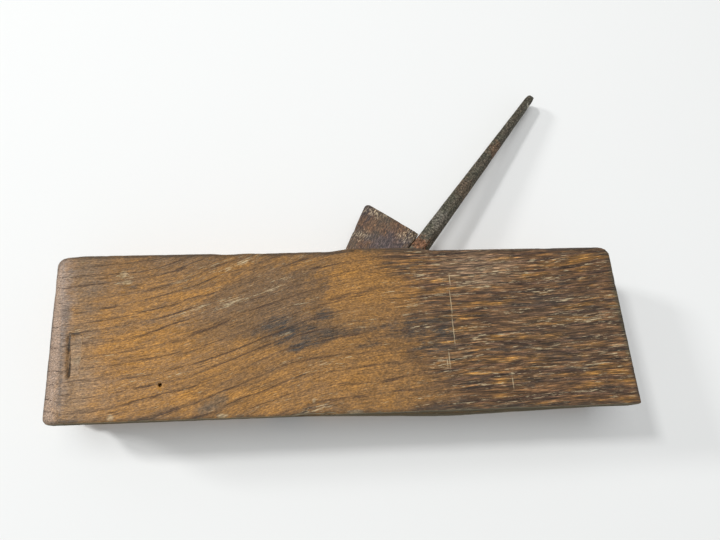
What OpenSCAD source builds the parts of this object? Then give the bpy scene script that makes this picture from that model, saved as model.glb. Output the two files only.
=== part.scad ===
// Wooden moulding plane: a beech stock that stands on its sole, a forged iron with a narrow tang,
// and the wooden wedge that locks it. X runs from toe to heel, +Y is the side where shavings leave,
// Z is up, and the origin is the middle of the sole. All sizes are in millimetres.

/* [Stock] */
// Length from toe to heel
stock_length = 240; // [210:1:280]
// Height from the sole to the top
stock_height = 69; // [64:1:80]
// Thickness across the sole
sole_width = 36; // [32:1:46]
// Depth of the step that thins the upper part on the open side
step_depth = 4.5; // [3:0.5:7]
// Height of the sole part, up to the start of the step
step_height = 33; // [28:1:38]
// Height that the slope of the step takes up
step_rise = 5; // [2:0.5:8]
// Radius of the two top corners
top_corner_r = 5; // [2:0.5:9]
// Radius of the toe's lower corner
toe_corner_r = 3.2; // [1:0.2:6]
// Radius of the heel's lower corner
heel_corner_r = 0.8; // [0.4:0.2:5]
// Bevel along the two top edges
top_edge_bevel = 1; // [0.4:0.2:2]
// Width of the toe's hand bevel on the closed face, at the sole
toe_bevel_foot = 8; // [4:0.5:12]
// Width of the same bevel at the top
toe_bevel_top = 3; // [1:0.5:6]
// Angle between that bevel and the closed face
toe_bevel_angle = 26; // [15:1:40]

/* [Sole hollow] */
// Flat margin of the sole on the closed side
closed_margin = 9.5; // [8:0.5:12]
// Width of the hollow that shapes the moulding
hollow_width = 21; // [16:0.5:22]
// Depth of the hollow
hollow_depth = 5; // [3:0.5:6]

/* [Bed and mortise] */
// Distance from the toe to the point where the bed meets the sole
bed_from_toe = 101.3; // [92:0.5:112]
// Pitch of the bed
bed_angle = 50; // [47:0.5:53]
// Pitch of the mortise's front wall
breast_angle = 64.3; // [62:0.5:67]
// Length of the mouth along the sole, from bed to front wall
mouth_length = 13.5; // [12:0.1:15]
// Width of the mortise
mortise_width = 11; // [9:0.2:12]

/* [Escapement] */
// Height of the hollow's centre over the sole
escape_height = 27; // [24:1:30]
// Distance of that centre in front of the iron's face, along the sole
escape_ahead = 7.8; // [6:0.2:10]
// Radius of the hollow at the mortise's closed wall
escape_inner_r = 6; // [4:0.5:8]
// Radius of the hollow at the open side
escape_outer_r = 15; // [13:0.5:18]

/* [Iron] */
// Thickness of the blade and the lower tang
iron_thick = 8.1; // [6:0.1:9]
// Thickness of the tang near its top end
tang_tip_thick = 4.2; // [3:0.1:5]
// Width of the tang at its top end
tang_tip_width = 8.4; // [6:0.2:9]
// Width of the tang's flat back, between its bevelled corners
tang_back = 5.2; // [3:0.1:6]
// Length of the wide blade along the bed
blade_length = 34; // [30:1:38]
// Length of the sloping shoulders between blade and tang
blade_shoulder = 7; // [4:1:10]
// Length from the foot of the bed to the top end
iron_reach = 201; // [170:1:210]
// Length of the rounded top end
tip_round = 6; // [3:1:10]
// Grinding angle at the cutting edge
grind_angle = 30; // [25:1:34]
// How far the edge stands out of the hollow
edge_projection = 0.4; // [0.1:0.1:0.8]

/* [Wedge] */
// Length of the wedge's front face over the stock's top
wedge_rise = 29.7; // [20:0.5:40]
// Height over the sole where the wedge ends
wedge_end_height = 15; // [12:1:20]
// Radius of the worn top corner
wedge_corner_r = 2.2; // [1:0.2:4]
// Length of the slanting cut that turns shavings aside
snipe_length = 16; // [8:1:20]
// Width that the cut leaves at the wedge's end
snipe_left = 3; // [2:0.5:5]

/* [Fits] */
// Play between the flat faces that press on each other
seat_gap = 0.05; // [0.02:0.01:0.1]
// Play at each side of the iron and the wedge
cheek_gap = 0.3; // [0.1:0.05:0.5]
// Room over the blade's shoulders
shoulder_room = 1.5; // [0.5:0.5:3]

/* [Hidden] */
$fn = 96;
// How far a cutter runs past what it cuts
cut = 1;
// How far neighbouring cutters run into each other
lap = 0.5;
// Longer than anything here, for cutters with one flat that matters
reach = 400;
// Length of blade that the grinding takes away under the edge
ground_off = 4;

closed_y = -sole_width / 2;
open_y = sole_width / 2;
grip_y = open_y - step_depth;
toe_x = -stock_length / 2;
heel_x = stock_length / 2;

bed_x = toe_x + bed_from_toe;
breast_x = bed_x - mouth_length;
mortise_y = closed_y + closed_margin;
hollow_y = mortise_y - lap + hollow_width / 2;
hollow_r = (pow(hollow_width / 2, 2) + pow(hollow_depth, 2)) / (2 * hollow_depth);

face_offset = (iron_thick + 2 * seat_gap) / sin(bed_angle);
face_x = bed_x - face_offset;
tang_width = mortise_width - 2 * cheek_gap;
tang_y = mortise_y + mortise_width / 2;
blade_width = hollow_width - lap - 2 * cheek_gap;
bed_top = stock_height / sin(bed_angle);
blade_foot = -iron_thick / tan(bed_angle) - edge_projection - ground_off;
// the tang is forged thinner from its back, so its face stays straight
tang_end = iron_reach - tip_round;
back_lean = atan((iron_thick - tang_tip_thick) / (tang_end - bed_top));

wedge_axis_angle = (bed_angle + breast_angle) / 2;

// Point at height z on a slope that starts at x on the sole
function on_slope(x, angle, z) = [x + z / tan(angle), z];
// Points of an arc, for rounded corners of outlines
function arc(centre, r, from, to, steps) =
    [for (i = [0 : steps]) let (a = from + (to - from) * i / steps) centre + r * [cos(a), sin(a)]];

// Stands an X-Z outline up and gives it a width along Y
module across(y_low, y_high) {
    translate([0, y_high, 0]) rotate([90, 0, 0]) linear_extrude(y_high - y_low) children();
}

// Local frame of the bed: X up the bed, Z square out of it
module on_bed() {
    translate([bed_x, 0, 0]) rotate([0, -bed_angle, 0]) children();
}

// What is left of a square corner once it is rounded, pointing to -X and -Z
module corner_waste(r) {
    across(closed_y - cut, open_y + cut)
        difference() {
            translate([-cut, -cut]) square(r + cut);
            translate([r, r]) circle(r);
        }
}

// The stock without its hollows
module stock_blank() {
    difference() {
        translate([toe_x, 0, 0]) rotate([90, 0, 90]) linear_extrude(stock_length)
            polygon([
                [closed_y, 0], [open_y, 0], [open_y, step_height], [grip_y, step_height + step_rise],
                [grip_y, stock_height - top_edge_bevel], [grip_y - top_edge_bevel, stock_height],
                [closed_y + top_edge_bevel, stock_height], [closed_y, stock_height - top_edge_bevel]
            ]);
        translate([toe_x, 0, 0]) corner_waste(toe_corner_r);
        translate([heel_x, 0, 0]) mirror([1, 0, 0]) corner_waste(heel_corner_r);
        translate([toe_x, 0, stock_height]) mirror([0, 0, 1]) corner_waste(top_corner_r);
        translate([heel_x, 0, stock_height]) mirror([1, 0, 0]) mirror([0, 0, 1]) corner_waste(top_corner_r);
        // hand bevel on the toe's closed side, wider at the sole
        translate([toe_x + toe_bevel_foot, closed_y, 0])
            rotate([0, -atan((toe_bevel_foot - toe_bevel_top) / stock_height), 0])
                rotate([0, 0, -toe_bevel_angle])
                    translate([-2 * sole_width, -sole_width, -stock_height / 2])
                        cube([3 * sole_width, sole_width, 2 * stock_height]);
    }
}

// Wedge-shaped mortise from the top down to the mouth
module mortise() {
    top = stock_height + cut;
    across(mortise_y, mortise_y + mortise_width)
        polygon([
            on_slope(bed_x, bed_angle, -cut), on_slope(bed_x, bed_angle, top),
            on_slope(breast_x, breast_angle, top), on_slope(breast_x, breast_angle, -cut)
        ]);
}

// Seat of the wide blade, open to the mouth and to the open side
module blade_seat() {
    seat_top = blade_length + blade_shoulder + shoulder_room;
    on_bed()
        translate([-iron_thick * 2, mortise_y, 0])
            cube([iron_thick * 2 + seat_top, open_y - mortise_y + cut, iron_thick + 2 * seat_gap]);
}

// Funnel that lets the shavings out: a slit at the mouth that opens into a conical hollow
module escapement() {
    centre_x = on_slope(face_x, bed_angle, escape_height)[0] - escape_ahead;
    depth = open_y - mortise_y;
    flare = (escape_outer_r - escape_inner_r) / depth;
    across(mortise_y, open_y + cut)
        polygon([
            on_slope(breast_x, breast_angle, -cut), on_slope(breast_x, breast_angle, escape_height),
            on_slope(face_x + lap, bed_angle, escape_height), on_slope(face_x + lap, bed_angle, -cut)
        ]);
    // the hollow stays in front of the iron's face, so that the bed keeps its whole width
    difference() {
        translate([centre_x, mortise_y, escape_height]) rotate([-90, 0, 0])
            cylinder(r1 = escape_inner_r, r2 = escape_outer_r + flare * cut, h = depth + cut);
        on_bed() translate([-reach / 2, -reach / 2, iron_thick - lap - reach])
            cube(reach);
    }
}

module stock() {
    color("peru")
        difference() {
            stock_blank();
            mortise();
            blade_seat();
            escapement();
            // hollow that gives the moulding its shape
            translate([toe_x - cut, hollow_y, hollow_depth - hollow_r]) rotate([0, 90, 0])
                cylinder(r = hollow_r, h = stock_length + 2 * cut);
        }
}

// Half of a rounded end: from the side at the foot of the round to its point
function rounded_end(side, length, steps) =
    [for (i = [0 : steps]) let (a = 90 * i / steps) [length * sin(a), side * cos(a)]];

// Outline of the iron seen square to the bed: a wide blade with sloping shoulders, then the tang
module iron_outline() {
    blade_right = blade_width - tang_width / 2;
    top = blade_length + blade_shoulder;
    tip = [tang_end, 0];
    half = rounded_end(tang_tip_width / 2, tip_round, 6);
    translate([0, tang_y])
        polygon(concat(
            [[blade_foot, blade_right], [blade_foot, -tang_width / 2], [bed_top, -tang_width / 2]],
            [for (p = half) tip + [p[0], -p[1]]],
            [for (i = [len(half) - 2 : -1 : 0]) tip + half[i]],
            [[bed_top, tang_width / 2], [top, tang_width / 2], [blade_length, blade_right]]
        ));
}

// Outline of the iron seen from the side: even up to the stock's top, then thinner
module iron_side() {
    half = rounded_end(tang_tip_thick / 2, tip_round, 6);
    tip = [tang_end, iron_thick - tang_tip_thick / 2];
    polygon(concat(
        [[blade_foot, 0], [blade_foot, iron_thick]],
        [for (p = half) tip + p],
        [for (i = [len(half) - 2 : -1 : 0]) tip + [half[i][0], -half[i][1]]],
        [[bed_top, 0]]
    ));
}

// Waste beside the flat back of the tang, on one side, from a place on the bed upwards
module back_bevel(start, lean) {
    translate([start, tang_back / 2, 0]) rotate([0, -lean, 0]) rotate([45, 0, 0])
        translate([0, -tang_width, -tang_width]) cube([iron_reach, 3 * tang_width, tang_width]);
}

// Everything under the ground edge: a hollow grind that rises towards the heel
module grind_waste() {
    edge_x = bed_x - (iron_thick + seat_gap) / sin(bed_angle);
    rise = bed_angle - grind_angle;
    r = (hollow_r - edge_projection) * cos(rise);
    translate([edge_x, hollow_y, 0]) rotate([0, -rise, 0]) {
        translate([-reach / 2, 0, hollow_depth - hollow_r]) rotate([0, 90, 0]) cylinder(r = r, h = reach);
        translate([-reach / 2, -reach / 2, seat_gap - reach]) cube(reach);
    }
}

module iron() {
    color("dimgray")
        difference() {
            on_bed() translate([0, 0, seat_gap])
                difference() {
                    intersection() {
                        linear_extrude(iron_thick) iron_outline();
                        translate([0, closed_y, 0]) mirror([0, 1, 0]) rotate([90, 0, 0])
                            linear_extrude(sole_width) iron_side();
                    }
                    for (side = [0, 1])
                        translate([0, tang_y, 0]) mirror([0, side, 0]) {
                            back_bevel(blade_length + blade_shoulder, 0);
                            back_bevel(bed_top, back_lean);
                        }
                }
            grind_waste();
        }
}

// Side of the wedge: it fills the mortise between the iron's face and the front wall
module wedge_side() {
    low = wedge_end_height;
    back_x = face_x - seat_gap / sin(bed_angle);
    front_x = breast_x + seat_gap / sin(breast_angle);
    front_top = on_slope(front_x, breast_angle, stock_height + wedge_rise * sin(breast_angle));
    // the head is cut square to the wedge's middle line
    head = [sin(wedge_axis_angle), -cos(wedge_axis_angle)];
    back_dir = [cos(bed_angle), sin(bed_angle)];
    gap = front_top - [back_x, 0];
    along = (gap[0] * head[1] - gap[1] * head[0]) / (back_dir[0] * head[1] - back_dir[1] * head[0]);
    back_top = [back_x, 0] + along * back_dir;
    // the front top corner is worn round
    corner = breast_angle - wedge_axis_angle + 90;
    front_dir = [cos(breast_angle), sin(breast_angle)];
    inset = wedge_corner_r / tan(corner / 2);
    centre = front_top - inset * front_dir + wedge_corner_r * [sin(breast_angle), -cos(breast_angle)];
    polygon(concat(
        [on_slope(front_x, breast_angle, low)],
        arc(centre, wedge_corner_r, breast_angle + 90, wedge_axis_angle, 8),
        [back_top, on_slope(back_x, bed_angle, low)]
    ));
}

module wedge() {
    left = tang_y - tang_width / 2;
    low = wedge_end_height;
    low_x = on_slope(breast_x, breast_angle, low)[0];
    color("sienna")
        difference() {
            across(left, left + tang_width) wedge_side();
            // slanting cut at the end, on the open side
            translate([low_x, left + snipe_left, low]) rotate([0, 90 - wedge_axis_angle, 0])
                rotate([-atan((tang_width - snipe_left) / snipe_length), 0, 0])
                    translate([-reach / 2, 0, -reach / 2]) cube(reach);
        }
}

stock();
iron();
wedge();
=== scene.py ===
"""A worn wooden moulding plane: the stock, its forged iron and the wedge that locks it."""
import math
import random

import bmesh
import bpy
import numpy as np
from mathutils import Matrix, Vector


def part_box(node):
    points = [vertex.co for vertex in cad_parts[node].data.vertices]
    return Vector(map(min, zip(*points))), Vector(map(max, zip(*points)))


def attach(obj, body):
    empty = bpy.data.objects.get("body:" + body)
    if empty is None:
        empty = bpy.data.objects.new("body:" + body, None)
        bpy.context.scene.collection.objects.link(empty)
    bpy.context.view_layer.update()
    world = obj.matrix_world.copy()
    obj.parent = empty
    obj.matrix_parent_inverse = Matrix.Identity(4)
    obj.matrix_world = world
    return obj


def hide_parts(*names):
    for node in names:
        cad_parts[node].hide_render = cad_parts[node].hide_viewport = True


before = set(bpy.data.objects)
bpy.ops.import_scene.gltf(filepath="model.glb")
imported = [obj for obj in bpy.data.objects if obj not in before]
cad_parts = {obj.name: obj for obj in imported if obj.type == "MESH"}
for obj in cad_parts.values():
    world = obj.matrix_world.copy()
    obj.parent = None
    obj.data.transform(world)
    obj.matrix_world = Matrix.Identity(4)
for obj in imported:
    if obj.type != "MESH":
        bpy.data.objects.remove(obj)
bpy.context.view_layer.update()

# Stock
# The body is one plank of open-grained hardwood, sawn, planed and bevelled by hand. Its arrises are
# worn round, its closed face is oiled and stained by hands, and the sole side is chipped and splintered.
MM = 0.001  # one millimetre in the scene's metres
STOCK_CELL = 0.62 * MM
STOCK_TRIANGLES = 190000
toe, heel = (corner.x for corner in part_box("stock"))
closed_face, open_face = (corner.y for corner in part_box("stock"))
stock_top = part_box("stock")[1].z
# above its shoulder the open side steps back to the grip
SHOULDER_HEIGHT = 33 * MM
GRIP_FACE = 13.5 * MM


def solid_copy(node, cell):
    """An even mesh of a CAD solid, with cells of one size, that wear can be modelled on."""
    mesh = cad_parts[node].data.copy()
    mesh.materials.clear()
    shape = bmesh.new()
    shape.from_mesh(mesh)
    bmesh.ops.remove_doubles(shape, verts=shape.verts, dist=0.002 * MM)
    shape.to_mesh(mesh)
    shape.free()
    piece = bpy.data.objects.new(node + "_worn", mesh)
    bpy.context.scene.collection.objects.link(piece)
    even = piece.modifiers.new("even cells", "REMESH")
    even.mode = "VOXEL"
    even.voxel_size = cell
    return piece


def add(tree, kind, links=None, **settings):
    """A node in a tree, with its settings, and its inputs set to values or joined to sockets."""
    made = tree.nodes.new(kind)
    for name, value in settings.items():
        setattr(made, name, value)
    for name, value in (links or {}).items():
        socket = made.inputs[name]
        if isinstance(value, bpy.types.NodeSocket):
            tree.links.new(value, socket)
        else:
            socket.default_value = value
    return made


def group(kind, name, inputs, outputs):
    """An empty node group with named sockets, and its input and output nodes."""
    tree = bpy.data.node_groups.new(name, kind)
    for label, sort, value in inputs:
        socket = tree.interface.new_socket(label, in_out="INPUT", socket_type="NodeSocket" + sort)
        if value is not None:
            socket.default_value = value
    for label, sort in outputs:
        tree.interface.new_socket(label, in_out="OUTPUT", socket_type="NodeSocket" + sort)
    return tree, tree.nodes.new("NodeGroupInput").outputs, tree.nodes.new("NodeGroupOutput").inputs


def maths(tree, operation, a, b=0.0, clamp=False):
    """The result of a sum on one or two values."""
    return add(tree, "ShaderNodeMath", {0: a, 1: b}, operation=operation, use_clamp=clamp).outputs[0]


def vectors(tree, operation, a, b=(0, 0, 0)):
    """The result of a sum on one or two vectors: a vector, or a length or product."""
    made = add(tree, "ShaderNodeVectorMath", {0: a, 1: b}, operation=operation)
    return made.outputs["Value" if operation in ("DOT_PRODUCT", "LENGTH", "DISTANCE") else "Vector"]


def spread(tree, value, low, high, to_low=0.0, to_high=1.0):
    """A value eased from one range to another."""
    made = add(tree, "ShaderNodeMapRange", {0: value, 1: low, 2: high, 3: to_low, 4: to_high},
               interpolation_type="SMOOTHSTEP")
    return made.outputs[0]


def scaled(tree, vector, factor):
    """A vector or a colour times a value."""
    return add(tree, "ShaderNodeVectorMath", {0: vector, "Scale": factor}, operation="SCALE").outputs[0]


def grain_noise(tree, place, scale, detail=3.0, roughness=0.55):
    """A cloudy value that varies from place to place, around one half."""
    return add(tree, "ShaderNodeTexNoise",
               {"Vector": place, "Scale": scale, "Detail": detail, "Roughness": roughness}).outputs[0]


# Wear as Geometry Nodes: every arris is rounded a little, some stretches much more, and flats are uneven.
wear, given, result = group(
    "GeometryNodeTree", "hand_wear",
    [("Geometry", "Geometry", None), ("Light Passes", "Int", 6), ("Heavy Passes", "Int", 40),
     ("Patch Size", "Float", 30 * MM), ("Patch Share", "Float", 0.5), ("Unevenness", "Float", 0.25 * MM),
     ("Unevenness Size", "Float", 40 * MM), ("Pit Depth", "Float", 0.0), ("Pit Size", "Float", 3 * MM),
     ("Finish", "Material", None)],
    [("Geometry", "Geometry")])
place = add(wear, "GeometryNodeInputPosition").outputs[0]
facing = add(wear, "GeometryNodeInputNormal").outputs[0]


def rounded_off(passes):
    """Each point's place, evened out with its neighbours' a number of times."""
    made = add(wear, "GeometryNodeBlurAttribute", {"Value": place, "Iterations": passes},
               data_type="FLOAT_VECTOR")
    return next(socket for socket in made.outputs if socket.enabled)


light = rounded_off(given["Light Passes"])
heavy = rounded_off(given["Heavy Passes"])
patch = grain_noise(wear, place, maths(wear, "DIVIDE", 1.0, given["Patch Size"]), 2.0)
limit = maths(wear, "SUBTRACT", 1.0, given["Patch Share"])
share = spread(wear, patch, maths(wear, "SUBTRACT", limit, 0.1), maths(wear, "ADD", limit, 0.1))
rounded = add(wear, "ShaderNodeMix", {0: share, 4: light, 5: heavy}, data_type="VECTOR").outputs[1]
hills = grain_noise(wear, place, maths(wear, "DIVIDE", 1.0, given["Unevenness Size"]), 2.0)
pits = grain_noise(wear, place, maths(wear, "DIVIDE", 1.0, given["Pit Size"]), 3.0)
sunk = maths(wear, "ADD", maths(wear, "MULTIPLY", hills, given["Unevenness"]),
             maths(wear, "MULTIPLY", spread(wear, pits, 0.5, 0.72), given["Pit Depth"]))
inward = scaled(wear, facing, maths(wear, "MULTIPLY", sunk, -1.0))
worn_place = vectors(wear, "ADD", rounded, inward)
arris = vectors(wear, "DOT_PRODUCT", vectors(wear, "SUBTRACT", place, heavy), facing)
kept = add(wear, "GeometryNodeStoreNamedAttribute",
           {"Geometry": given["Geometry"], "Name": "arris", "Value": maths(wear, "DIVIDE", arris, MM)},
           data_type="FLOAT", domain="POINT")
moved = add(wear, "GeometryNodeSetPosition", {"Geometry": kept.outputs[0], "Position": worn_place})
smooth = add(wear, "GeometryNodeSetShadeSmooth", {"Geometry": moved.outputs[0]})
real = add(wear, "GeometryNodeRealizeInstances", {"Geometry": smooth.outputs[0]})
dressed = add(wear, "GeometryNodeSetMaterial", {"Geometry": real.outputs[0], "Material": given["Finish"]})
wear.links.new(dressed.outputs[0], result["Geometry"])


def worn(piece, material, **sizes):
    """The piece as a plain mesh, remeshed and worn, with its material."""
    made = piece.modifiers.new("hand wear", "NODES")
    made.node_group = wear
    sockets = {s.name: s.identifier for s in wear.interface.items_tree if s.in_out == "INPUT"}
    for name, value in {**sizes, "Finish": material}.items():
        made[sockets[name]] = value
    ready = bpy.data.meshes.new_from_object(piece.evaluated_get(bpy.context.evaluated_depsgraph_get()))
    piece.modifiers.clear()
    piece.data = ready
    return piece


def gouge(points, centre, radii, towards):
    """Pushes the points inside an ellipsoid out of it, into the wood, as a chip leaves a hollow."""
    radii = np.array(radii)
    towards = np.array(towards, float) / np.linalg.norm(towards)
    local = (points - np.array(centre)) / radii
    step = towards / radii
    a = step @ step
    b = local @ step
    c = (local ** 2).sum(1) - 1
    inside = c < 0
    travel = (-b + np.sqrt(np.maximum(b * b - a * c, 0))) / a
    points[inside] += travel[inside, None] * towards


def points_of(piece):
    """The piece's points as rows of x, y and z."""
    rows = np.empty(len(piece.data.vertices) * 3, np.float32)
    piece.data.vertices.foreach_get("co", rows)
    return rows.reshape(-1, 3).astype(float)


def put_back(piece, points):
    """Moves the piece's points to the places in the rows."""
    piece.data.vertices.foreach_set("co", points.astype(np.float32).ravel())
    piece.data.update()


# wear of the sole: how deep it gets in front of the mouth and at the heel, where each stretch begins
# and how long it takes to get there, and how far the wear reaches up and in from the open side
FRONT_WEAR, HEEL_WEAR = 2.3 * MM, 1.7 * MM
FRONT_WEAR_BEGINS, FRONT_WEAR_EASE = 45 * MM, 70 * MM
HEEL_WEAR_BEGINS, HEEL_WEAR_EASE = 55 * MM, 65 * MM
WEAR_REACH = 12 * MM


def skewed_sole(points):
    """Wears the sole, and the iron's edge with it, away towards the open side."""
    frontward = np.clip((FRONT_WEAR_BEGINS - points[:, 0]) / FRONT_WEAR_EASE, 0, 1)
    rearward = np.clip((points[:, 0] - HEEL_WEAR_BEGINS) / HEEL_WEAR_EASE, 0, 1)
    outward = np.clip(points[:, 1] / WEAR_REACH, 0, 1)
    lower = np.clip(1 - points[:, 2] / WEAR_REACH, 0, 1)
    points[:, 2] += (FRONT_WEAR * frontward + HEEL_WEAR * rearward) * outward * lower


# Ragged patch, for all three pieces: a soft spot of a given place and size, with an uneven edge.
spot, given, result = group(
    "ShaderNodeTree", "ragged_patch",
    [("Vector", "Vector", None), ("Centre", "Vector", None), ("Radii", "Vector", None),
     ("Softness", "Float", 0.5), ("Raggedness", "Float", 0.4), ("Grain", "Float", 300.0)],
    [("Mask", "Float")])
away = vectors(spot, "DIVIDE", vectors(spot, "SUBTRACT", given["Vector"], given["Centre"]), given["Radii"])
edge = maths(spot, "SUBTRACT", grain_noise(spot, given["Vector"], given["Grain"], 4.0, 0.65), 0.5)
reach = maths(spot, "ADD", vectors(spot, "LENGTH", away),
              maths(spot, "MULTIPLY", edge, maths(spot, "MULTIPLY", given["Raggedness"], 4.0)))
spot.links.new(spread(spot, reach, maths(spot, "SUBTRACT", 1.0, given["Softness"]),
                      maths(spot, "ADD", 1.0, given["Softness"]), 1.0, 0.0), result["Mask"])

# Wood figure, for the stock and the wedge, along the X of its vector: growth lines broken into dashes,
# open pores and fine fibre.
figure, given, result = group(
    "ShaderNodeTree", "wood_figure",
    [("Vector", "Vector", None), ("Pith", "Vector", None), ("Ring Width", "Float", 4 * MM),
     ("Line Share", "Float", 0.3), ("Dash Length", "Float", 9 * MM), ("Dash Width", "Float", 0.5 * MM),
     ("Pore Length", "Float", 3 * MM), ("Pore Width", "Float", 0.25 * MM)],
    [("Lines", "Float"), ("Halo", "Float"), ("Pores", "Float"), ("Fibre", "Float")])


def stretched(tree, vector, length, width):
    """The grain vector scaled so that one unit is a given length along it and a width across it."""
    long = maths(tree, "DIVIDE", 1.0, length)
    wide = maths(tree, "DIVIDE", 1.0, width)
    scale = add(tree, "ShaderNodeCombineXYZ", {0: long, 1: wide, 2: wide}).outputs[0]
    return vectors(tree, "MULTIPLY", vector, scale)


drift = grain_noise(figure, stretched(figure, given["Vector"], 90 * MM, 16 * MM), 1.0, 3.0)
across = vectors(figure, "MULTIPLY", vectors(figure, "SUBTRACT", given["Vector"], given["Pith"]), (0, 1, 1))
ring = maths(figure, "DIVIDE", vectors(figure, "LENGTH", across), given["Ring Width"])
ring = maths(figure, "ADD", ring, maths(figure, "MULTIPLY", drift, 2.6))
half_line = maths(figure, "MULTIPLY", given["Line Share"], 0.5)
line = spread(figure, maths(figure, "PINGPONG", ring, 0.5), 0.0, half_line, 1.0, 0.0)
strong = grain_noise(figure, stretched(figure, given["Vector"], 38 * MM, 5 * MM), 1.0, 2.0)
line = maths(figure, "MULTIPLY", line, spread(figure, strong, 0.25, 0.45))
figure.links.new(line, result["Halo"])
dash = stretched(figure, given["Vector"], given["Dash Length"], given["Dash Width"])
dash = grain_noise(figure, dash, 1.0, 2.0, 0.6)
start = maths(figure, "SUBTRACT", 0.63, maths(figure, "MULTIPLY", line, 0.24))
faded = grain_noise(figure, stretched(figure, given["Vector"], 22 * MM, 3 * MM), 1.0, 3.0, 0.65)
dark = maths(figure, "MULTIPLY", spread(figure, dash, start, maths(figure, "ADD", start, 0.14)),
             spread(figure, faded, 0.36, 0.6, 0.25, 1.0))
figure.links.new(dark, result["Lines"])
pore = stretched(figure, given["Vector"], given["Pore Length"], given["Pore Width"])
pore = grain_noise(figure, pore, 1.0, 1.0)
figure.links.new(spread(figure, pore, 0.6, 0.7), result["Pores"])
fibre = stretched(figure, given["Vector"], maths(figure, "MULTIPLY", given["Dash Length"], 1.5),
                  maths(figure, "MULTIPLY", given["Dash Width"], 0.7))
figure.links.new(grain_noise(figure, fibre, 1.0, 4.0, 0.75), result["Fibre"])


def finish(name):
    """A new material, its node tree and its Principled shader."""
    made = bpy.data.materials.new(name)
    made.use_nodes = True
    tree = made.node_tree
    return made, tree, tree.nodes["Principled BSDF"]


def mixed(tree, share, a, b):
    """A colour b laid over a colour a by a share."""
    return add(tree, "ShaderNodeMix", {0: share, 6: a, 7: b}, data_type="RGBA").outputs[2]


def place_group(tree, shared, **values):
    """The outputs of a shader group, placed in a material with its own values."""
    made = tree.nodes.new("ShaderNodeGroup")
    made.node_tree = shared
    for name, value in values.items():
        socket = made.inputs[name.replace("_", " ")]
        if isinstance(value, bpy.types.NodeSocket):
            tree.links.new(value, socket)
        else:
            socket.default_value = value
    return made.outputs


def embossed(tree, shader, height, strength, depth):
    """Gives a finish its fine relief."""
    relief = add(tree, "ShaderNodeBump", {"Height": height, "Strength": strength, "Distance": depth})
    tree.links.new(relief.outputs[0], shader.inputs["Normal"])


HONEY = (0.38, 0.176, 0.03, 1)
OCHRE = (0.265, 0.128, 0.027, 1)
UMBER = (0.155, 0.084, 0.031, 1)
HEEL_BROWN = (0.115, 0.058, 0.023, 1)
# worn mauve of the toe's bevel, lightened with painted sheen
TOE_MAUVE_SHEEN = (0.335, 0.24, 0.178, 1)
LINE_BROWN = (0.065, 0.036, 0.022, 1)
PALE_DUST = (0.60, 0.48, 0.29, 1)
# dark grime, also used as painted shade in inner corners, in the dent's slit and along the toe's bevel
GRIME_AND_SHADE = (0.04, 0.031, 0.023, 1)
TOE_OLIVE = (0.19, 0.125, 0.07, 1)
EDGE_GREEN = (0.055, 0.055, 0.03, 1)
BLUE_GREY = (0.07, 0.068, 0.055, 1)
# pale olive for the sole: its dust, and painted light on its downward faces
SOLE_DUST_AND_LIGHT = (0.34, 0.30, 0.20, 1)
BARE_WOOD = (0.44, 0.31, 0.20, 1)
# how the grain climbs on the closed face: the middle of the climb, half its length and its height, a
# steady climb besides, and how far the lines wander
CLIMB_AT, CLIMB_LENGTH, CLIMB_HEIGHT = -44 * MM, 42 * MM, 27 * MM
STEADY_CLIMB = 0.05
WANDER = 8 * MM
# where the dark, close-grained heel part begins and where it is complete, how ragged the change is and
# how far it leans
HEEL_PART = (12 * MM, 52 * MM)
HEEL_PART_BLUR = 50 * MM
HEEL_PART_LEAN = 0.25
# the heart of the tree, which the growth lines circle
PITH = (0, 70 * MM, -70 * MM)

wood, tree, shader = finish("stock_hardwood")
body = add(tree, "ShaderNodeTexCoord").outputs["Object"]
split = add(tree, "ShaderNodeSeparateXYZ", {0: body}).outputs
climb = maths(tree, "DIVIDE", maths(tree, "SUBTRACT", split[0], CLIMB_AT), CLIMB_LENGTH)
climb = maths(tree, "TANH", climb)
wander = grain_noise(tree, vectors(tree, "MULTIPLY", body, (10, 18, 18)), 1.0, 3.0)
wander = maths(tree, "SUBTRACT", wander, 0.5)
lifted = maths(tree, "SUBTRACT", split[2], maths(tree, "MULTIPLY", climb, CLIMB_HEIGHT / 2))
lifted = maths(tree, "SUBTRACT", lifted, maths(tree, "MULTIPLY", split[0], STEADY_CLIMB))
lifted = maths(tree, "ADD", lifted, maths(tree, "MULTIPLY", wander, WANDER))
grain = add(tree, "ShaderNodeCombineXYZ", {0: split[0], 1: split[1], 2: lifted}).outputs[0]
open_part = place_group(tree, figure, Vector=grain, Pith=PITH, Ring_Width=4.1 * MM,
                        Line_Share=0.34, Dash_Length=8 * MM, Dash_Width=0.5 * MM,
                        Pore_Length=2.6 * MM, Pore_Width=0.24 * MM)
close_part = place_group(tree, figure, Vector=grain, Pith=PITH, Ring_Width=3.1 * MM,
                         Line_Share=0.5, Dash_Length=9 * MM, Dash_Width=0.42 * MM,
                         Pore_Length=3.6 * MM, Pore_Width=0.27 * MM)
mottle = grain_noise(tree, stretched(tree, grain, 30 * MM, 11 * MM), 1.0, 4.0, 0.6)
cloud = grain_noise(tree, stretched(tree, grain, 17 * MM, 3.2 * MM), 1.0, 4.0, 0.65)
grit = grain_noise(tree, stretched(tree, grain, 1.1 * MM, 0.5 * MM), 1.0, 3.0, 0.7)
streaks = grain_noise(tree, stretched(tree, grain, 8 * MM, 0.5 * MM), 1.0, 5.0, 0.75)
heelward = maths(tree, "MULTIPLY", maths(tree, "SUBTRACT", mottle, 0.5), HEEL_PART_BLUR)
heelward = maths(tree, "ADD", split[0], heelward)
heelward = maths(tree, "ADD", heelward, maths(tree, "MULTIPLY", split[2], HEEL_PART_LEAN))
heelward = spread(tree, heelward, *HEEL_PART)


def between(a, b):
    """The toe part's value turning into the heel part's."""
    return add(tree, "ShaderNodeMix", {0: heelward, 2: a, 3: b}, data_type="FLOAT").outputs[0]


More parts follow.
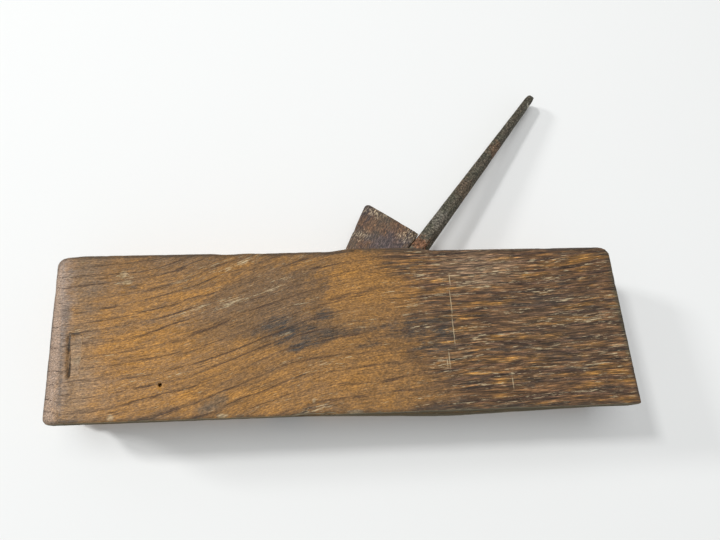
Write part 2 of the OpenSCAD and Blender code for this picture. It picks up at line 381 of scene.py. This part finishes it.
def in_grain(along, up):
    """A place on the closed face in the coordinates that follow the grain."""
    risen = math.tanh((along * MM - CLIMB_AT) / CLIMB_LENGTH) * CLIMB_HEIGHT / 2 + along * MM * STEADY_CLIMB
    return along * MM, closed_face, up * MM - risen


def face_patch(along, up, half_along, half_up, softness, ragged, fineness, follows=True, deep=14):
    """A ragged patch on the closed face, by its middle and half sizes in millimetres."""
    centre = in_grain(along, up) if follows else (along * MM, closed_face, up * MM)
    return place_group(tree, spot, Vector=grain if follows else body, Centre=centre,
                       Radii=(half_along * MM, deep * MM, half_up * MM), Softness=softness,
                       Raggedness=ragged, Grain=fineness)["Mask"]


colour = mixed(tree, spread(tree, mottle, 0.36, 0.62), OCHRE, HONEY)
colour = mixed(tree, spread(tree, cloud, 0.42, 0.68, 0.0, 0.75), colour, UMBER)
colour = mixed(tree, maths(tree, "MULTIPLY", open_part["Halo"], 0.6), colour, UMBER)
heel_colour = mixed(tree, spread(tree, cloud, 0.29, 0.53), OCHRE, HEEL_BROWN)
heel_colour = mixed(tree, maths(tree, "MULTIPLY", close_part["Halo"], 0.75), heel_colour, LINE_BROWN)
colour = mixed(tree, heelward, colour, heel_colour)

# marks on the closed face, most from use, with painted sheen and painted shade at the toe's bevel: middle
# along the stock and up it and half sizes, in millimetres, then colour, strength, softness, raggedness, and
# whether they follow the grain
FACE_MARKS = [
    (11, 50, 20, 14, HONEY, 0.5, 0.25, 0.4, False),
    (-35, 46, 28, 13, UMBER, 0.95, 0.3, 0.5, True),
    (-17, 37, 13, 8, UMBER, 0.6, 0.5, 0.6, False),
    (-6, 24, 48, 27, UMBER, 0.5, 0.7, 0.5, False),
    (-74, 63, 42, 9, UMBER, 0.4, 0.6, 0.5, False),
    (-108, 60, 15, 12, UMBER, 0.35, 0.6, 0.5, False),
    (-108, 12, 12, 14, BARE_WOOD, 0.25, 0.6, 0.5, False),
    (-108.3, 26.5, 2.3, 8.4, BARE_WOOD, 0.62, 0.3, 0.2, False),
    (-107.6, 24.6, 1.3, 1, PALE_DUST, 0.4, 0.6, 1.0, False),
    (-91.8, 60.2, 1.5, 1.1, PALE_DUST, 0.34, 0.7, 1.4, False),
    (-90, 56.4, 1.2, 0.7, PALE_DUST, 0.34, 0.7, 1.4, False),
    (-87.4, 54.8, 2, 0.8, GRIME_AND_SHADE, 0.6, 0.6, 0.8, True),
    (60, 60, 15, 8, BARE_WOOD, 0.22, 0.6, 0.6, False),
    (92, 34, 26, 16, GRIME_AND_SHADE, 0.36, 0.7, 0.6, False),
    (-10, 12, 38, 9, HONEY, 0.35, 0.7, 0.5, True),
    (-84, 20, 34, 17, HONEY, 0.3, 0.6, 0.5, True),
    (-54, 5, 5, 2.4, BLUE_GREY, 0.6, 0.6, 0.7, True),
    (-113, 44, 2, 4, GRIME_AND_SHADE, 0.65, 0.5, 0.4, False),
    (-112, 12, 2.5, 4, GRIME_AND_SHADE, 0.35, 0.5, 0.4, False),
    (-60, 69, 70, 5, UMBER, 0.6, 0.6, 0.5, False),
    (-107, 34, 6, 60, TOE_OLIVE, 0.5, 0.7, 0.4, False),
    # the toe's bevel: worn mauve wood, lightened as painted sheen
    (-120, 30, 7.5, 60, TOE_MAUVE_SHEEN, 0.85, 0.5, 0.25, False),
    # painted shade: a thin dark line along the inner edge of the toe's bevel
    (-113.4, 40, 1.1, 34, GRIME_AND_SHADE, 0.3, 0.8, 0.5, False),
    (-92.7, 2.2, 0.8, 1.2, PALE_DUST, 0.42, 0.7, 1.2, False),
    (-49.5, 1.2, 1.8, 0.7, PALE_DUST, 0.6, 0.5, 0.6, False),
    (-14, 5.6, 0.7, 1.2, PALE_DUST, 0.4, 0.6, 0.8, False),
    (2, 1, 3, 0.8, PALE_DUST, 0.5, 0.5, 0.8, False),
    (121, 42, 3, 30, EDGE_GREEN, 0.7, 0.5, 0.4, False),
]
for along, up, half_along, half_up, tint, strength, softness, ragged, follows in FACE_MARKS:
    mask = face_patch(along, up, half_along, half_up, softness, ragged, 170.0, follows)
    colour = mixed(tree, maths(tree, "MULTIPLY", mask, strength), colour, tint)

# stains of oil and iron in streaks along the grain: middle, half sizes and strength
STAINS = [(-31, 36, 8, 2.4, 0.95), (-24, 32.5, 9, 3, 1.0), (-18, 27.5, 8, 1.6, 1.0), (-13, 31, 12, 3, 0.75),
          (-9, 39.5, 4, 2.2, 1.0), (9, 27, 5, 1.4, 0.9), (4, 33, 12, 1.4, 0.6), (33, 36, 14, 2.4, 0.9),
          (39, 31, 10, 3, 1.0), (37, 25.5, 10, 2, 0.9), (22, 31.5, 12, 1.6, 0.6), (50, 12.7, 9, 1.8, 0.7),
          (75, 11.9, 10, 2, 0.8), (-16, 3, 7, 1.4, 0.8), (38, 3, 9, 2, 0.7), (90, 46, 8, 2.4, 0.7),
          (90, 21, 12, 2, 0.7)]
streak = grain_noise(tree, stretched(tree, grain, 7 * MM, 0.7 * MM), 1.0, 4.0, 0.7)
streak = spread(tree, streak, 0.42, 0.56, 0.2, 1.0)
for along, up, half_along, half_up, strength in STAINS:
    mask = face_patch(along, up, half_along, half_up, 0.6, 0.7, 260.0)
    mask = maths(tree, "MULTIPLY", mask, maths(tree, "MULTIPLY", streak, strength))
    colour = mixed(tree, mask, colour, GRIME_AND_SHADE)

# dark smears that follow the grain of the heel part
smear = grain_noise(tree, stretched(tree, grain, 20 * MM, 1.9 * MM), 1.0, 4.0, 0.7)
smear = maths(tree, "MULTIPLY", spread(tree, smear, 0.54, 0.67), heelward)
colour = mixed(tree, maths(tree, "MULTIPLY", smear, 0.8), colour, GRIME_AND_SHADE)
lines = between(maths(tree, "MULTIPLY", open_part["Lines"], 0.82),
                maths(tree, "MULTIPLY", close_part["Lines"], 0.92))
colour = mixed(tree, lines, colour, LINE_BROWN)
fibre = between(open_part["Fibre"], close_part["Fibre"])
grit = maths(tree, "MULTIPLY", maths(tree, "SUBTRACT", between(grit, streaks), 0.5), between(3.0, 9.5))
tone = maths(tree, "MULTIPLY", spread(tree, fibre, 0.3, 0.7, 1.4, 0.56), maths(tree, "EXPONENT", grit))
colour = scaled(tree, colour, tone)

# dust packed in the open pores: all over the heel part, and in the scuffs, by their middles and half sizes
SCUFFS = [(-63, 43.5, 9, 2.2), (-45, 48, 13, 2.6), (-31, 53, 9, 2), (-50, 62, 22, 3.4), (-92, 58.5, 4, 3),
          (-16, 64, 14, 2), (50, 53, 9, 1.4), (55, 34, 10, 1.6), (56, 28, 10, 2), (96, 38, 12, 5),
          (-20, 1.5, 14, 1.6), (-78, 14, 5, 1.4), (-71, 16.4, 5, 1), (-8, 20, 12, 2)]
scuffed = heelward
for along, up, half_along, half_up in SCUFFS:
    mask = face_patch(along, up, half_along, half_up, 0.6, 0.5, 220.0)
    scuffed = maths(tree, "MAXIMUM", maths(tree, "MULTIPLY", mask, 1.6), scuffed)
flake = grain_noise(tree, stretched(tree, grain, 4.6 * MM, 0.31 * MM), 1.0, 3.0, 0.65)
cluster = grain_noise(tree, stretched(tree, grain, 24 * MM, 2.2 * MM), 1.0, 3.0)
flake = maths(tree, "ADD", flake, maths(tree, "MULTIPLY", maths(tree, "SUBTRACT", cluster, 0.5), 0.5))
limit = maths(tree, "SUBTRACT", 0.68, maths(tree, "MULTIPLY", scuffed, 0.07))
dusty = spread(tree, flake, limit, maths(tree, "ADD", limit, 0.09))
colour = mixed(tree, maths(tree, "MULTIPLY", dusty, 0.85), colour, PALE_DUST)

# knife scratches across the grain: where along the stock, how high, and half their length
SCRATCHES = [(46.2, 55, 2.2), (45.6, 45, 5), (45.3, 33, 6), (42.2, 20.5, 3.2), (41.2, 19, 1.6),
             (67.4, 10.5, 2.4)]
SCRATCH_HALF_WIDTH = 0.2
scratched = 0.0
for along, up, half in SCRATCHES:
    mask = face_patch(along, up, SCRATCH_HALF_WIDTH, half, 0.5, 0.6, 900.0, follows=False, deep=6)
    scratched = maths(tree, "MAXIMUM", mask, scratched)
colour = mixed(tree, maths(tree, "MULTIPLY", scratched, 0.55), colour, PALE_DUST)

# painted shade in the chisel's slit and along the upper edge of the dent at the toe
SLIT_SHADE = [(-111.2, 31.5, 0.45, 4.6), (-110.3, 22.5, 0.4, 5), (-108.8, 35.2, 2, 0.4)]
for along, up, half_along, half_up in SLIT_SHADE:
    shaded_slit = face_patch(along, up, half_along, half_up, 0.4, 0.2, 700.0, follows=False, deep=6)
    colour = mixed(tree, maths(tree, "MULTIPLY", shaded_slit, 0.8), colour, GRIME_AND_SHADE)

# hands leave the arrises darker and greyer
worn_by = add(tree, "ShaderNodeAttribute", attribute_name="arris").outputs["Fac"]
soiled = grain_noise(tree, vectors(tree, "MULTIPLY", body, (60, 90, 90)), 1.0, 4.0, 0.65)
grimy = maths(tree, "MULTIPLY", spread(tree, worn_by, 0.03, 0.35),
              spread(tree, soiled, 0.35, 0.6, 0.3, 0.9))
colour = mixed(tree, maths(tree, "MULTIPLY", grimy, 0.8), colour, GRIME_AND_SHADE)

# painted shade darkens the inner corners, and the sole, which no hand oils, is paler: dust, with painted
# light on it as well
pocket_shade = spread(tree, worn_by, -0.4, -0.05, 1.0, 0.0)
colour = mixed(tree, maths(tree, "MULTIPLY", pocket_shade, 0.8), colour, GRIME_AND_SHADE)
# painted light: faces that look down are mixed towards pale olive
facing = add(tree, "ShaderNodeNewGeometry").outputs["True Normal"]
upward = add(tree, "ShaderNodeSeparateXYZ", {0: facing}).outputs[2]
colour = mixed(tree, spread(tree, upward, -0.9, -0.5, 0.75, 0.0), colour, SOLE_DUST_AND_LIGHT)
tree.links.new(colour, shader.inputs["Base Color"])
shader.inputs["Specular IOR Level"].default_value = 0.4

rough = maths(tree, "ADD", spread(tree, mottle, 0.3, 0.7, 0.46, 0.62),
              maths(tree, "MULTIPLY", maths(tree, "MAXIMUM", lines, dusty), 0.25), clamp=True)
handled = face_patch(-120, 30, 8, 60, 0.4, 0.2, 100.0, follows=False, deep=30)
rough = maths(tree, "SUBTRACT", rough, maths(tree, "MULTIPLY", handled, 0.16))
tree.links.new(rough, shader.inputs["Roughness"])

# growth lines, open pores and scratches lie lower than the fibres
height = maths(tree, "MULTIPLY", lines, -0.6)
pores = between(open_part["Pores"], close_part["Pores"])
height = maths(tree, "SUBTRACT", height, maths(tree, "MULTIPLY", pores, 0.5))
height = maths(tree, "SUBTRACT", height, maths(tree, "MULTIPLY", scratched, 0.8))
height = maths(tree, "ADD", height, maths(tree, "MULTIPLY", fibre, 0.6))
height = maths(tree, "ADD", height, maths(tree, "MULTIPLY", grit, 0.2))
embossed(tree, shader, height, 0.55, 0.3 * MM)

stock = worn(solid_copy("stock", STOCK_CELL), wood,
             **{"Light Passes": 2, "Heavy Passes": 22, "Patch Size": 24 * MM, "Patch Share": 0.36,
                "Unevenness": 0.22 * MM, "Unevenness Size": 50 * MM,
                "Pit Depth": 0.1 * MM, "Pit Size": 4 * MM})
points = points_of(stock)

# the top is worn a little lower at the toe, and stands proud around the mortise, where no hand rubs it
TOP_DROP, PROUD = 0.2 * MM, 1.3 * MM
PROUD_FROM, PROUD_TO, PROUD_EASE = -6 * MM, 41 * MM, 10 * MM
toeward = np.clip(points[:, 0] / toe, 0, 1) ** 5
rise = np.clip((points[:, 0] - PROUD_FROM) / PROUD_EASE, 0, 1)
rise = rise * np.clip((PROUD_TO - points[:, 0]) / PROUD_EASE, 0, 1)
rise = rise * rise * (3 - 2 * rise)
upper = np.clip(points[:, 2] / stock_top, 0, 1)
points[:, 2] += PROUD * rise * upper ** 12 - TOP_DROP * toeward * upper ** 2

skewed_sole(points)

# the dent at the toe: a chisel's slit, cut downwards in short steps, with the wood pressed flat beside it
SLIT_FROM, SLIT_TO = (-111.5 * MM, 34 * MM), (-110.06 * MM, 18.8 * MM)
SLIT_CUTS = 9
SLIT_RADII = (0.5 * MM, 1.3 * MM, 1.7 * MM)
for along, up in np.linspace(SLIT_FROM, SLIT_TO, SLIT_CUTS):
    gouge(points, (along, closed_face, up), SLIT_RADII, (0, 1, 0))
DENT_MIDDLE, DENT_HALF = (-108.5 * MM, 26.5 * MM), (2.6 * MM, 9 * MM)
DENT_SLOPES = (0.52 * MM, 1 * MM)
DENT_DEPTH, DENT_SKIN = 0.7 * MM, 1.5 * MM
pressed = points[:, 1] < closed_face + DENT_SKIN
for axis, middle, half, slope in zip((0, 2), DENT_MIDDLE, DENT_HALF, DENT_SLOPES):
    pressed = pressed * np.clip((half - np.abs(points[:, axis] - middle)) / slope, 0, 1)
points[:, 1] += DENT_DEPTH * pressed

# two flakes torn from the face and two splinters from the lower arris: where, radii, and which way
TORN = [(-91.8, 60.2, (2.6, 0.7, 1.6), (0, 1, 0)), (-89.6, 56, (1.9, 0.7, 1.2), (0, 1, 0)),
        (-16, 0, (9, 1, 1), (0, 0.7, 1)), (-8, 0, (3, 1.4, 1.3), (0, 0.7, 1))]
for along, up, radii, towards in TORN:
    gouge(points, (along * MM, closed_face, up * MM), np.array(radii) * MM, towards)

# small nicks along the four long arrises, more of them below and on the closed side
NICKS = 150
NICK_SIZES, NICK_STRETCH = (0.3, 0.8), (1.5, 4)
LOW_SHARE, CLOSED_SHARE = 0.6, 0.6
chance = random.Random(7)
for _ in range(NICKS):
    along = chance.uniform(toe, heel)
    low = chance.random() < LOW_SHARE
    closed = chance.random() < CLOSED_SHARE
    side = closed_face if closed else open_face if low else GRIP_FACE
    size = chance.uniform(*NICK_SIZES) * MM
    length = size * chance.uniform(*NICK_STRETCH)
    gouge(points, (along, side, 0 if low else stock_top), (length, size, size),
          (0, 1 if closed else -1, 1 if low else -1))
put_back(stock, points)

# a nail hole, bored through the worn skin
NAIL_HOLE = (-74.4 * MM, closed_face, 13.8 * MM)
NAIL_MOUTH, NAIL_POINT, NAIL_DEPTH = 0.85 * MM, 0.6 * MM, 8 * MM
NAIL_LEAN = math.radians(96)
hole = bpy.data.meshes.new("nail_hole")
shape = bmesh.new()
bmesh.ops.create_cone(shape, cap_ends=True, segments=14, radius1=NAIL_MOUTH, radius2=NAIL_POINT,
                      depth=NAIL_DEPTH,
                      matrix=Matrix.Translation(NAIL_HOLE) @ Matrix.Rotation(NAIL_LEAN, 4, "X"))
shape.to_mesh(hole)
shape.free()
bore = bpy.data.objects.new("nail_bore", hole)
bpy.context.scene.collection.objects.link(bore)
cutter = stock.modifiers.new("nail hole", "BOOLEAN")
cutter.object = bore
cutter.operation = "DIFFERENCE"
quads = len(stock.data.polygons)
thinned = stock.modifiers.new("even out", "DECIMATE")
thinned.ratio = min(1.0, STOCK_TRIANGLES / (2 * quads))
ready = bpy.data.meshes.new_from_object(stock.evaluated_get(bpy.context.evaluated_depsgraph_get()))
stock.modifiers.clear()
stock.data = ready
bpy.data.objects.remove(bore)
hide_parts("stock")
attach(stock, "stock")

# Iron
# One forging: a wide blade ground at its end, drawn out into a narrow tang that tapers to a rounded tip.
# The smith's hammer left it uneven, and rust has pitted it under a dark patina.
IRON_CELL = 0.4 * MM
BED_ANGLE = math.radians(50)
IRON_SIDE = closed_face / 2
IRON_GREY = (0.078, 0.074, 0.052, 1)
IRON_BROWN = (0.09, 0.074, 0.054, 1)
OLIVE_BLACK = (0.035, 0.033, 0.024, 1)
RUST_RED = (0.21, 0.096, 0.047, 1)
BARE_STEEL = (0.30, 0.28, 0.25, 1)
# a painted highlight for the iron's tip
TIP_HIGHLIGHT = (0.55, 0.52, 0.42, 1)

forged, tree, shader = finish("forged_iron")
body = add(tree, "ShaderNodeTexCoord").outputs["Object"]
turned = add(tree, "ShaderNodeMapping", {0: body, 2: (0, BED_ANGLE, 0)}).outputs[0]
bar = vectors(tree, "MULTIPLY", turned, (90, 260, 260))
blotch = grain_noise(tree, bar, 1.0, 5.0, 0.65)
speck = grain_noise(tree, turned, 900.0, 4.0, 0.7)
scale_marks = grain_noise(tree, turned, 260.0, 5.0, 0.7)
colour = mixed(tree, spread(tree, blotch, 0.35, 0.65), IRON_GREY, IRON_BROWN)
colour = mixed(tree, spread(tree, scale_marks, 0.5, 0.72, 0.0, 0.45), colour, OLIVE_BLACK)
colour = mixed(tree, spread(tree, speck, 0.6, 0.72, 0.0, 0.4), colour, BARE_STEEL)
# rust, rubbed places, a darker spot on the foot where it enters the stock, and a painted highlight on the
# tip: where along and up the stock, half size, colour and strength
IRON_MARKS = [(37.4, 75.2, 3.8, RUST_RED, 0.8), (48, 88, 5, BARE_STEEL, 0.16),
              (103.4, 149, 2.2, TIP_HIGHLIGHT, 0.9), (80.8, 124.7, 4, RUST_RED, 0.35),
              # the last, a darker spot on the foot where the iron enters the stock
              (62, 104, 5, RUST_RED, 0.15), (32, 69, 3, OLIVE_BLACK, 0.8)]
for along, up, half, tint, strength in IRON_MARKS:
    mask = place_group(tree, spot, Vector=body, Centre=(along * MM, IRON_SIDE, up * MM),
                       Radii=(half * MM, 14 * MM, half * MM), Softness=0.5, Raggedness=1.0,
                       Grain=420.0)["Mask"]
    colour = mixed(tree, maths(tree, "MULTIPLY", mask, strength), colour, tint)
crust = grain_noise(tree, turned, 1300.0, 3.0, 0.8)
tone = maths(tree, "EXPONENT", maths(tree, "MULTIPLY", maths(tree, "SUBTRACT", crust, 0.5), 7.0))
colour = scaled(tree, colour, tone)
tree.links.new(colour, shader.inputs["Base Color"])
tree.links.new(spread(tree, speck, 0.4, 0.75, 0.6, 0.2), shader.inputs["Metallic"])
tree.links.new(spread(tree, blotch, 0.3, 0.7, 0.48, 0.72), shader.inputs["Roughness"])
height = maths(tree, "ADD", maths(tree, "MULTIPLY", scale_marks, 0.8), maths(tree, "MULTIPLY", speck, 0.35))
embossed(tree, shader, height, 0.6, 0.35 * MM)

iron = worn(solid_copy("iron", IRON_CELL), forged,
            **{"Light Passes": 1, "Heavy Passes": 5, "Patch Size": 12 * MM, "Patch Share": 0.35,
               "Unevenness": 0.2 * MM, "Unevenness Size": 7 * MM,
               "Pit Depth": 0.12 * MM, "Pit Size": 1.4 * MM})
points = points_of(iron)
skewed_sole(points)
put_back(iron, points)
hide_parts("iron")
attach(iron, "iron")

# Wedge
# A tapered slip of dark hardwood, split along the grain and pared to fit. Its head is bruised by the
# mallet, one corner is worn round, and it is darker where it enters the stock.
WEDGE_CELL = 0.38 * MM
WEDGE_ANGLE = math.radians(57.15)
WEDGE_SIDE = -8 * MM
WEDGE_RED = (0.142, 0.072, 0.032, 1)
WEDGE_BROWN = (0.085, 0.058, 0.032, 1)
WEDGE_DARK = (0.042, 0.03, 0.03, 1)
BRUISE_GREY = (0.37, 0.30, 0.20, 1)
FOOT_PLUM = (0.07, 0.051, 0.053, 1)

slip, tree, shader = finish("wedge_hardwood")
body = add(tree, "ShaderNodeTexCoord").outputs["Object"]
grain = add(tree, "ShaderNodeMapping", {0: body, 2: (0, WEDGE_ANGLE, 0)}).outputs[0]
parts = place_group(tree, figure, Vector=grain, Pith=(0, -50 * MM, 35 * MM), Ring_Width=3.4 * MM,
                    Line_Share=0.4, Dash_Length=10 * MM, Dash_Width=0.5 * MM,
                    Pore_Length=3 * MM, Pore_Width=0.22 * MM)
mottle = grain_noise(tree, body, 130.0, 4.0, 0.6)
colour = mixed(tree, spread(tree, mottle, 0.35, 0.65), WEDGE_BROWN, WEDGE_RED)
colour = mixed(tree, maths(tree, "MULTIPLY", parts["Halo"], 0.5), colour, WEDGE_DARK)
colour = mixed(tree, spread(tree, parts["Fibre"], 0.35, 0.7, 0.0, 0.6), colour, WEDGE_DARK)
colour = mixed(tree, maths(tree, "MULTIPLY", parts["Lines"], 0.7), colour, WEDGE_DARK)
speck = grain_noise(tree, stretched(tree, grain, 1.4 * MM, 0.5 * MM), 1.0, 3.0, 0.7)
# bruises, rubbed places and a darker foot where it enters the stock: where along and up the stock, half
# size, colour and strength
WEDGE_MARKS = [(18.5, 92.5, 4.5, BRUISE_GREY, 0.6), (10.7, 80, 3.5, BRUISE_GREY, 0.55),
               (32, 79, 4.5, BRUISE_GREY, 0.55), (22.3, 74, 9, FOOT_PLUM, 0.7),
               (15, 84, 4, WEDGE_RED, 0.5), (28, 84, 4, WEDGE_RED, 0.5)]
for along, up, half, tint, strength in WEDGE_MARKS:
    mask = place_group(tree, spot, Vector=body, Centre=(along * MM, WEDGE_SIDE, up * MM),
                       Radii=(half * MM, 14 * MM, half * MM * 0.7), Softness=0.5, Raggedness=0.9,
                       Grain=350.0)["Mask"]
    if tint is BRUISE_GREY:
        mask = maths(tree, "MULTIPLY", mask, spread(tree, speck, 0.45, 0.6))
    colour = mixed(tree, maths(tree, "MULTIPLY", mask, strength), colour, tint)
tone = maths(tree, "EXPONENT", maths(tree, "MULTIPLY", maths(tree, "SUBTRACT", speck, 0.5), 6.0))
colour = scaled(tree, colour, tone)
worn_by = add(tree, "ShaderNodeAttribute", attribute_name="arris").outputs["Fac"]
rubbed = maths(tree, "MULTIPLY", spread(tree, worn_by, 0.1, 0.5), spread(tree, mottle, 0.4, 0.6))
colour = mixed(tree, maths(tree, "MULTIPLY", rubbed, 0.5), colour, WEDGE_RED)
tree.links.new(colour, shader.inputs["Base Color"])
tree.links.new(spread(tree, mottle, 0.3, 0.7, 0.4, 0.62), shader.inputs["Roughness"])
height = maths(tree, "SUBTRACT", maths(tree, "MULTIPLY", parts["Fibre"], 0.6),
               maths(tree, "MULTIPLY", parts["Lines"], 0.6))
embossed(tree, shader, height, 0.5, 0.25 * MM)

wedge = worn(solid_copy("wedge", WEDGE_CELL), slip,
             **{"Light Passes": 1, "Heavy Passes": 9, "Patch Size": 12 * MM, "Patch Share": 0.35,
                "Unevenness": 0.18 * MM, "Unevenness Size": 12 * MM,
                "Pit Depth": 0.08 * MM, "Pit Size": 2 * MM})
points = points_of(wedge)

# a notch in its front edge, and a corner split off its head: middle and radii in millimetres, and the way
# that each went
NOTCH = ((7.4, -8.4, 83.4), (2.3, 6, 1.9), (1, 0.1, -0.5))
SPLIT = ((38, -9, 80.5), (5, 1.6, 1.6), (-0.2, 1, -0.4))
for centre, radii, towards in (NOTCH, SPLIT):
    gouge(points, np.array(centre) * MM, np.array(radii) * MM, towards)
put_back(wedge, points)
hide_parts("wedge")
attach(wedge, "wedge")

# Table, lamps and camera
# The plane lies on its open side on a white table, so the table leans behind it; a pale floor lies under
# the sole for the views in which it stands. Both are seen from their near side only, and neither stops
# light nor throws it back.
pale, tree, shader = finish("pale_table")
shader.inputs["Base Color"].default_value = (0.86, 0.87, 0.86, 1)
shader.inputs["Roughness"].default_value = 0.9
ray = add(tree, "ShaderNodeLightPath").outputs
hidden = maths(tree, "MAXIMUM", add(tree, "ShaderNodeNewGeometry").outputs["Backfacing"],
               maths(tree, "MAXIMUM", ray["Is Shadow Ray"], ray["Is Diffuse Ray"]))
clear = add(tree, "ShaderNodeBsdfTransparent").outputs[0]
shown = add(tree, "ShaderNodeMixShader", {0: hidden, 1: shader.outputs[0], 2: clear}).outputs[0]
tree.links.new(shown, tree.nodes["Material Output"].inputs["Surface"])


def sheet_of_table(name, corners):
    """A flat sheet of the pale table, for the pictures only."""
    mesh = bpy.data.meshes.new(name)
    mesh.from_pydata(corners, [], [range(len(corners))])
    mesh.materials.append(pale)
    surface = bpy.data.objects.new(name, mesh)
    bpy.context.scene.collection.objects.link(surface)


# the table touches the shoulder of the stock and the top of its grip
WIDE = 3.0
lean = (GRIP_FACE - open_face) / (stock_top - SHOULDER_HEIGHT)
low_y, high_y = (open_face + lean * (z - SHOULDER_HEIGHT) for z in (-WIDE, WIDE))
sheet_of_table("table", [(-WIDE, low_y, -WIDE), (WIDE, low_y, -WIDE),
                         (WIDE, high_y, WIDE), (-WIDE, high_y, WIDE)])
sheet_of_table("floor", [(-WIDE, -WIDE, 0), (WIDE, -WIDE, 0), (WIDE, WIDE, 0), (-WIDE, WIDE, 0)])

world = bpy.data.worlds.new("room")
bpy.context.scene.world = world
world.use_nodes = True
room = world.node_tree
room.nodes["Background"].inputs["Color"].default_value = (0.97, 0.98, 1.0, 1)
room.nodes["Background"].inputs["Strength"].default_value = 0.27
backdrop = add(room, "ShaderNodeBackground", {"Color": (0.84, 0.85, 0.85, 1)}).outputs[0]
seen = add(room, "ShaderNodeLightPath").outputs["Is Camera Ray"]
shown = add(room, "ShaderNodeMixShader", {0: seen, 1: room.nodes["Background"].outputs[0], 2: backdrop})
room.links.new(shown.outputs[0], room.nodes["World Output"].inputs["Surface"])

# square lamps, all aimed at the plane: a broad one around the camera, a small one up to the left, one
# further over, and one behind; each with its place and side in metres, and its watts
LAMPS = [("front_lamp", (-0.17, -1.4, 0.12), 0.8, 9.4),
         ("near_lamp", (-2.6, -3.47, 1.2), 0.46, 67),
         ("far_lamp", (-3.66, -2.3, 1.33), 0.62, 62),
         ("behind", (0.6, 2.6, 2.1), 1.7, 70)]
LAMP_AIM = Vector((0, 0, 0.05))
for name, place, side, watts in LAMPS:
    light = bpy.data.lights.new(name, "AREA")
    light.shape = "SQUARE"
    light.size = side
    light.energy = watts
    hung = bpy.data.objects.new(name, light)
    bpy.context.scene.collection.objects.link(hung)
    hung.location = place
    hung.rotation_euler = (LAMP_AIM - Vector(place)).to_track_quat("-Z", "Y").to_euler()

# the photograph's viewpoint, fitted to the four corners of the closed face
EYE = (-26 * MM, -240.3 * MM, -13.8 * MM)
TURN, TILT, ROLL = math.radians(3.81), math.radians(18.38), math.radians(-2.29)
# the lens: its focal length, how far its axis is off the middle and the frame's width, all three in
# pixels of the photograph, and the film's width in millimetres
FOCUS, OFF_CENTRE, FRAME_WIDTH = 550, 44, 720
FILM = 36
look = Vector((math.sin(TURN) * math.cos(TILT), math.cos(TURN) * math.cos(TILT), math.sin(TILT)))
right = Vector((math.cos(TURN), -math.sin(TURN), 0))
up = right.cross(look)
right, up = (math.cos(ROLL) * right + math.sin(ROLL) * up, math.cos(ROLL) * up - math.sin(ROLL) * right)
lens = bpy.data.cameras.new("photo_view")
lens.sensor_width = FILM
lens.lens = FILM * FOCUS / FRAME_WIDTH
lens.shift_x = OFF_CENTRE / FRAME_WIDTH
lens.clip_start = 0.01
camera = bpy.data.objects.new("photo_view", lens)
bpy.context.scene.collection.objects.link(camera)
turned = Matrix((right, up, -look)).transposed().to_4x4()
camera.matrix_world = Matrix.Translation(EYE) @ turned
bpy.context.scene.camera = camera
bpy.context.scene.view_settings.view_transform = "Standard"
